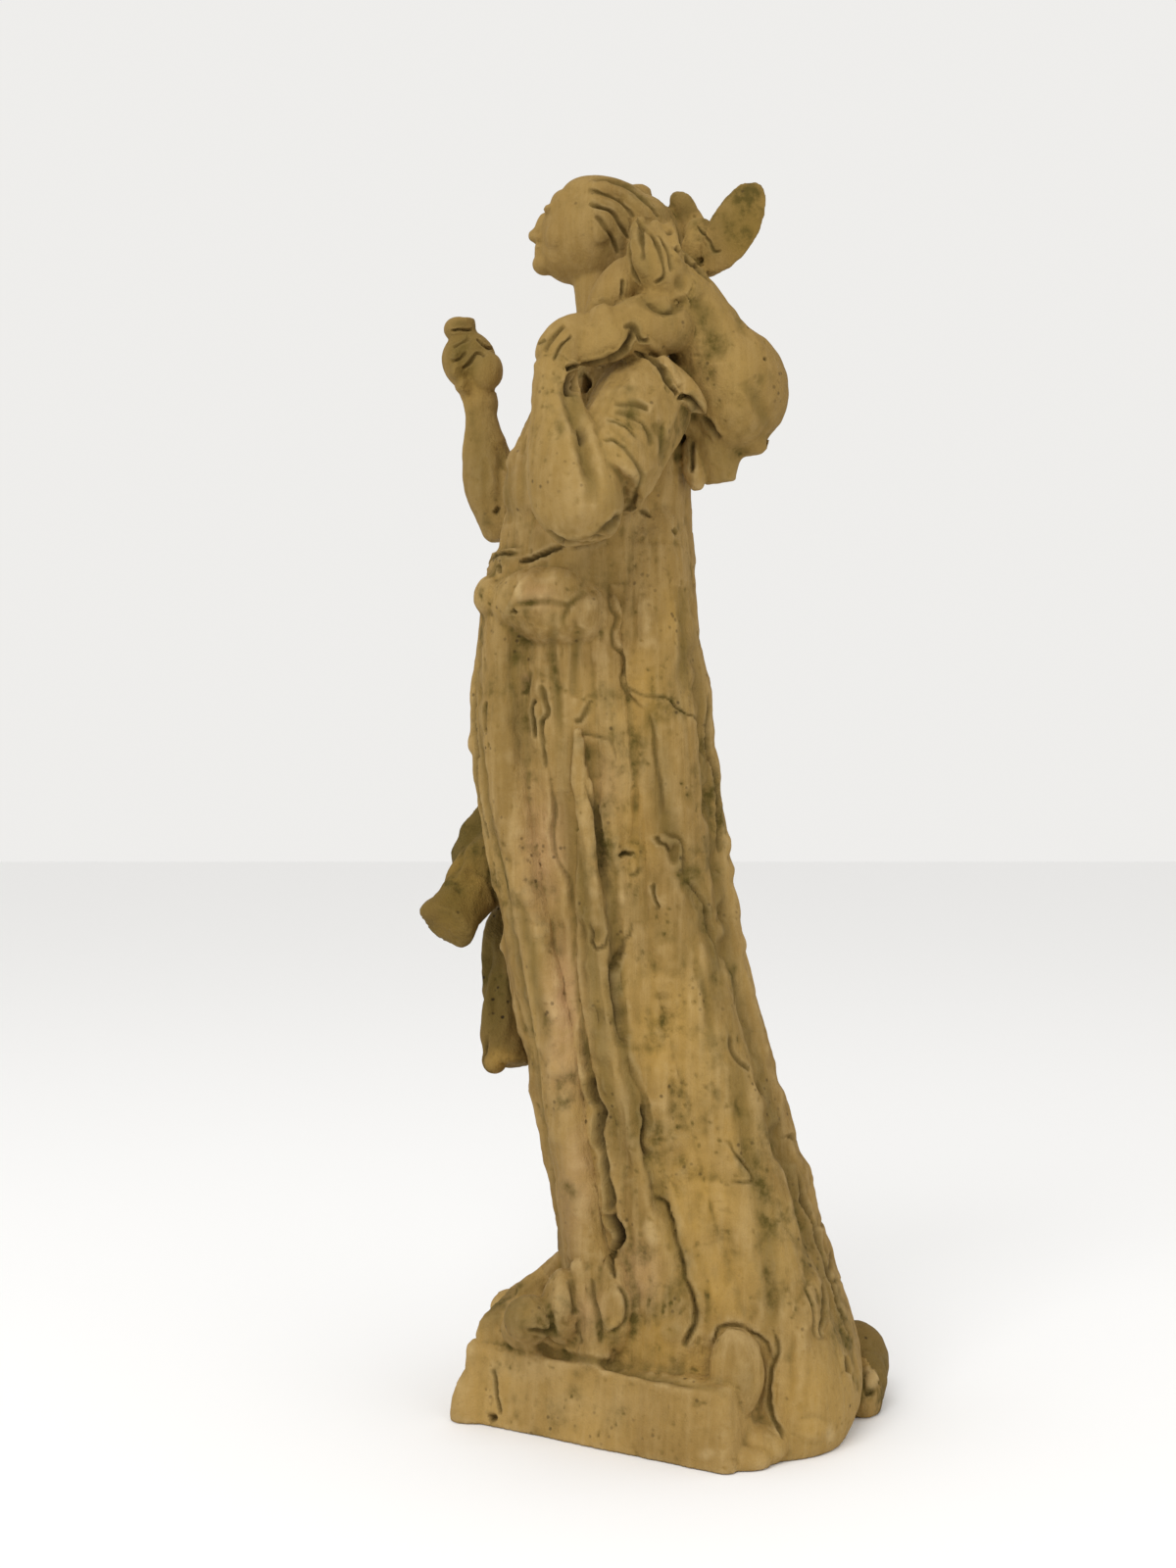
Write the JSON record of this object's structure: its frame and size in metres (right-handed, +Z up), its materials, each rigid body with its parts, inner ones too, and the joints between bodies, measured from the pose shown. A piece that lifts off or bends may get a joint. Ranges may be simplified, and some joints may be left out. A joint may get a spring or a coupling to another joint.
{
  "type": "clay figure statuette",
  "caption": "Hand-modelled clay statuette on a square plinth: a draped standing figure with a winged infant on the shoulder and a lopped tree stump at the front.",
  "frame": {"origin": "centre of the plinth's underside, on the surface that the statuette stands on", "axes": "+Z up, -Y the way the figure faces, +X its left side"},
  "size_m": [0.201, 0.2287, 0.5996],
  "materials": {
    "clay_dress": "unglazed, dry, ochre with grime in the folds",
    "clay_figure": "unglazed, dry, smoothed by hand",
    "clay_infant": "unglazed, dry, tool-marked",
    "clay_tree": "unglazed, dry, rough as bark",
    "clay_base": "unglazed, dry, cut and chipped"
  },
  "bodies": {
    "root": {"skirt_core": "clay_dress", "front_drape": "clay_dress", "train": "clay_dress", "waist_knot": "clay_dress", "waist_overfold": "clay_dress", "hem_lobe_front": "clay_dress", "shin_ridge": "clay_dress", "hem_lobe_back": "clay_dress", "middle_fold": "clay_dress", "train_pad": "clay_dress", "side_strip": "clay_dress", "torso": "clay_dress", "shoulder_roll": "clay_dress", "head": "clay_figure", "neck": "clay_figure", "hair_mass": "clay_figure", "hair_bun": "clay_figure", "near_sleeve": "clay_figure", "near_forearm": "clay_figure", "near_hand": "clay_figure", "far_arm": "clay_figure", "far_forearm": "clay_figure", "far_hand": "clay_figure", "far_thumb": "clay_figure", "held_block": "clay_figure", "front_foot": "clay_figure", "infant_body": "clay_infant", "infant_head": "clay_infant", "infant_arm": "clay_infant", "infant_leg": "clay_infant", "neck_wedge": "clay_infant", "wing_root": "clay_infant", "near_wing": "clay_infant", "far_wing": "clay_infant", "tree_trunk": "clay_tree", "upper_branch": "clay_tree", "lower_branch": "clay_tree", "root_spur": "clay_tree", "root_knuckle": "clay_tree", "plinth": "clay_base", "ground_mound": "clay_base"}
  },
  "joints": []
}
